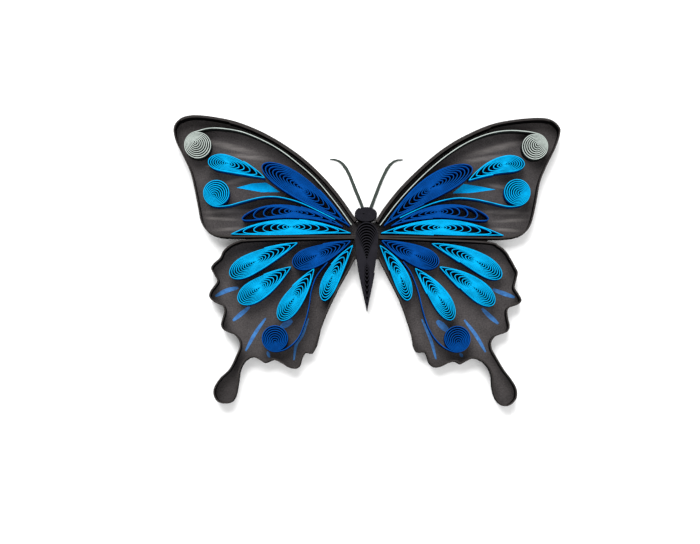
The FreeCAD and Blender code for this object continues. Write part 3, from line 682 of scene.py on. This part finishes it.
# The gap between two turns on the pressed side, and how much wider it is on the open side.
SCROLL_PRESSED_GAP = 0.07
SCROLL_OPEN_GAP = 0.26
SCROLL_PITCH = QUILL_PAPER + SCROLL_PRESSED_GAP + SCROLL_OPEN_GAP / 2
SCROLL_HEART_RADIUS = 0.08
SCROLL_POINTS_PER_TURN = 48
VEIN_STEPS = 8
# The vein is first drawn on to this point of the coil and then cut back, so that they meet smoothly.
VEIN_AIM = 4

for name, (centre, radius, leaves_at, open_at, way, paper_name, vein_points) in SCROLLS.items():
    hub = Vector((*centre, 0.0))
    open_side = Vector((math.cos(math.radians(open_at)), math.sin(math.radians(open_at)), 0))
    coil = []
    for step in range(SCROLL_TURNS * SCROLL_POINTS_PER_TURN):
        turned = step / SCROLL_POINTS_PER_TURN
        angle = math.radians(leaves_at) - way * 2 * math.pi * turned
        inside = radius - QUILL_PAPER / 2 - turned * SCROLL_PITCH
        middle = hub - open_side * (turned * SCROLL_OPEN_GAP / 2)
        outward = Vector((math.cos(angle), math.sin(angle), 0))
        coil.append(middle + outward * max(SCROLL_HEART_RADIUS, inside))
    from_body = list(reversed(in_plane(vein_points)))
    vein = smooth_path(from_body + [coil[0], coil[VEIN_AIM]], VEIN_STEPS)[:-VEIN_STEPS - 1]
    standing_strips("wound_" + name, [vein + coil], QUILL_PAPER, *PAPERS[paper_name], name)

# Setting: a plain white table, a large soft light from above the head of the butterfly, a weaker one
# from below, and a camera almost straight above, where the photograph was taken from.

# How far the table goes each way, in metres.
FLOOR_REACH = 1.5
TABLE_WHITES = ("#F6F6F6", "#FCFCFC")
TOOTH_PER_MM = 2.0
ROOM_LIGHT = 0.55
# Tilt in degrees away from straight down, lens and sensor in millimetres, and the nearest view in metres.
CAMERA_PLACE = Vector((-3.83, -32.6, 276.0)) * MM
CAMERA_TILT = 2.968
CAMERA_LENS = 62.85
CAMERA_SENSOR = 36.0
CAMERA_SHIFT = 0.10
CAMERA_NEAREST = 0.01

floor_mesh = bpy.data.meshes.new("floor")
corners = [(x * FLOOR_REACH, y * FLOOR_REACH, 0) for x, y in ((-1, -1), (1, -1), (1, 1), (-1, 1))]
floor_mesh.from_pydata(corners, [], [(0, 1, 2, 3)])
floor = bpy.data.objects.new("floor", floor_mesh)
bpy.context.collection.objects.link(floor)
# Matt white board: no gloss, and a tooth of about 0.5 mm that hardly shows.
board, tree, shader, place = new_material("matt_white_board")
tooth = node(tree, "ShaderNodeTexNoise", {"Scale": TOOTH_PER_MM, "Detail": 3.0}, {"Vector": place})
white = node(tree, "ShaderNodeValToRGB", links={0: tooth.outputs[0]})
for stop, shade in zip(white.color_ramp.elements, TABLE_WHITES):
    stop.color = linear(shade)
tree.links.new(white.outputs[0], shader.inputs["Base Color"])
shader.inputs["Roughness"].default_value = 0.9
floor_mesh.materials.append(board)


def soft_light(name, place, size, power):
    """A square soft light that faces the object, with its size in metres and its power in watts."""
    data = bpy.data.lights.new(name, "AREA")
    data.shape = "SQUARE"
    data.size = size
    data.energy = power
    lamp = bpy.data.objects.new(name, data)
    lamp.location = place
    lamp.rotation_mode = "QUATERNION"
    lamp.rotation_quaternion = (-Vector(place)).to_track_quat("-Z", "Y")
    bpy.context.collection.objects.link(lamp)


soft_light("window", (-0.1, 0.42, 0.42), size=0.45, power=6.0)
soft_light("fill", (0.25, -0.35, 0.5), size=0.6, power=2.2)

world = bpy.data.worlds.new("room")
world.use_nodes = True
room = world.node_tree.nodes["Background"]
room.inputs["Color"].default_value = linear("#FFFFFF")
room.inputs["Strength"].default_value = ROOM_LIGHT
bpy.context.scene.world = world
bpy.context.scene.view_settings.view_transform = "Standard"

lens = bpy.data.cameras.new("camera")
lens.lens = CAMERA_LENS
lens.sensor_width = CAMERA_SENSOR
lens.shift_y = CAMERA_SHIFT
lens.clip_start = CAMERA_NEAREST
camera = bpy.data.objects.new("camera", lens)
camera.location = CAMERA_PLACE
camera.rotation_euler = (math.radians(CAMERA_TILT), 0, 0)
bpy.context.collection.objects.link(camera)
bpy.context.scene.camera = camera
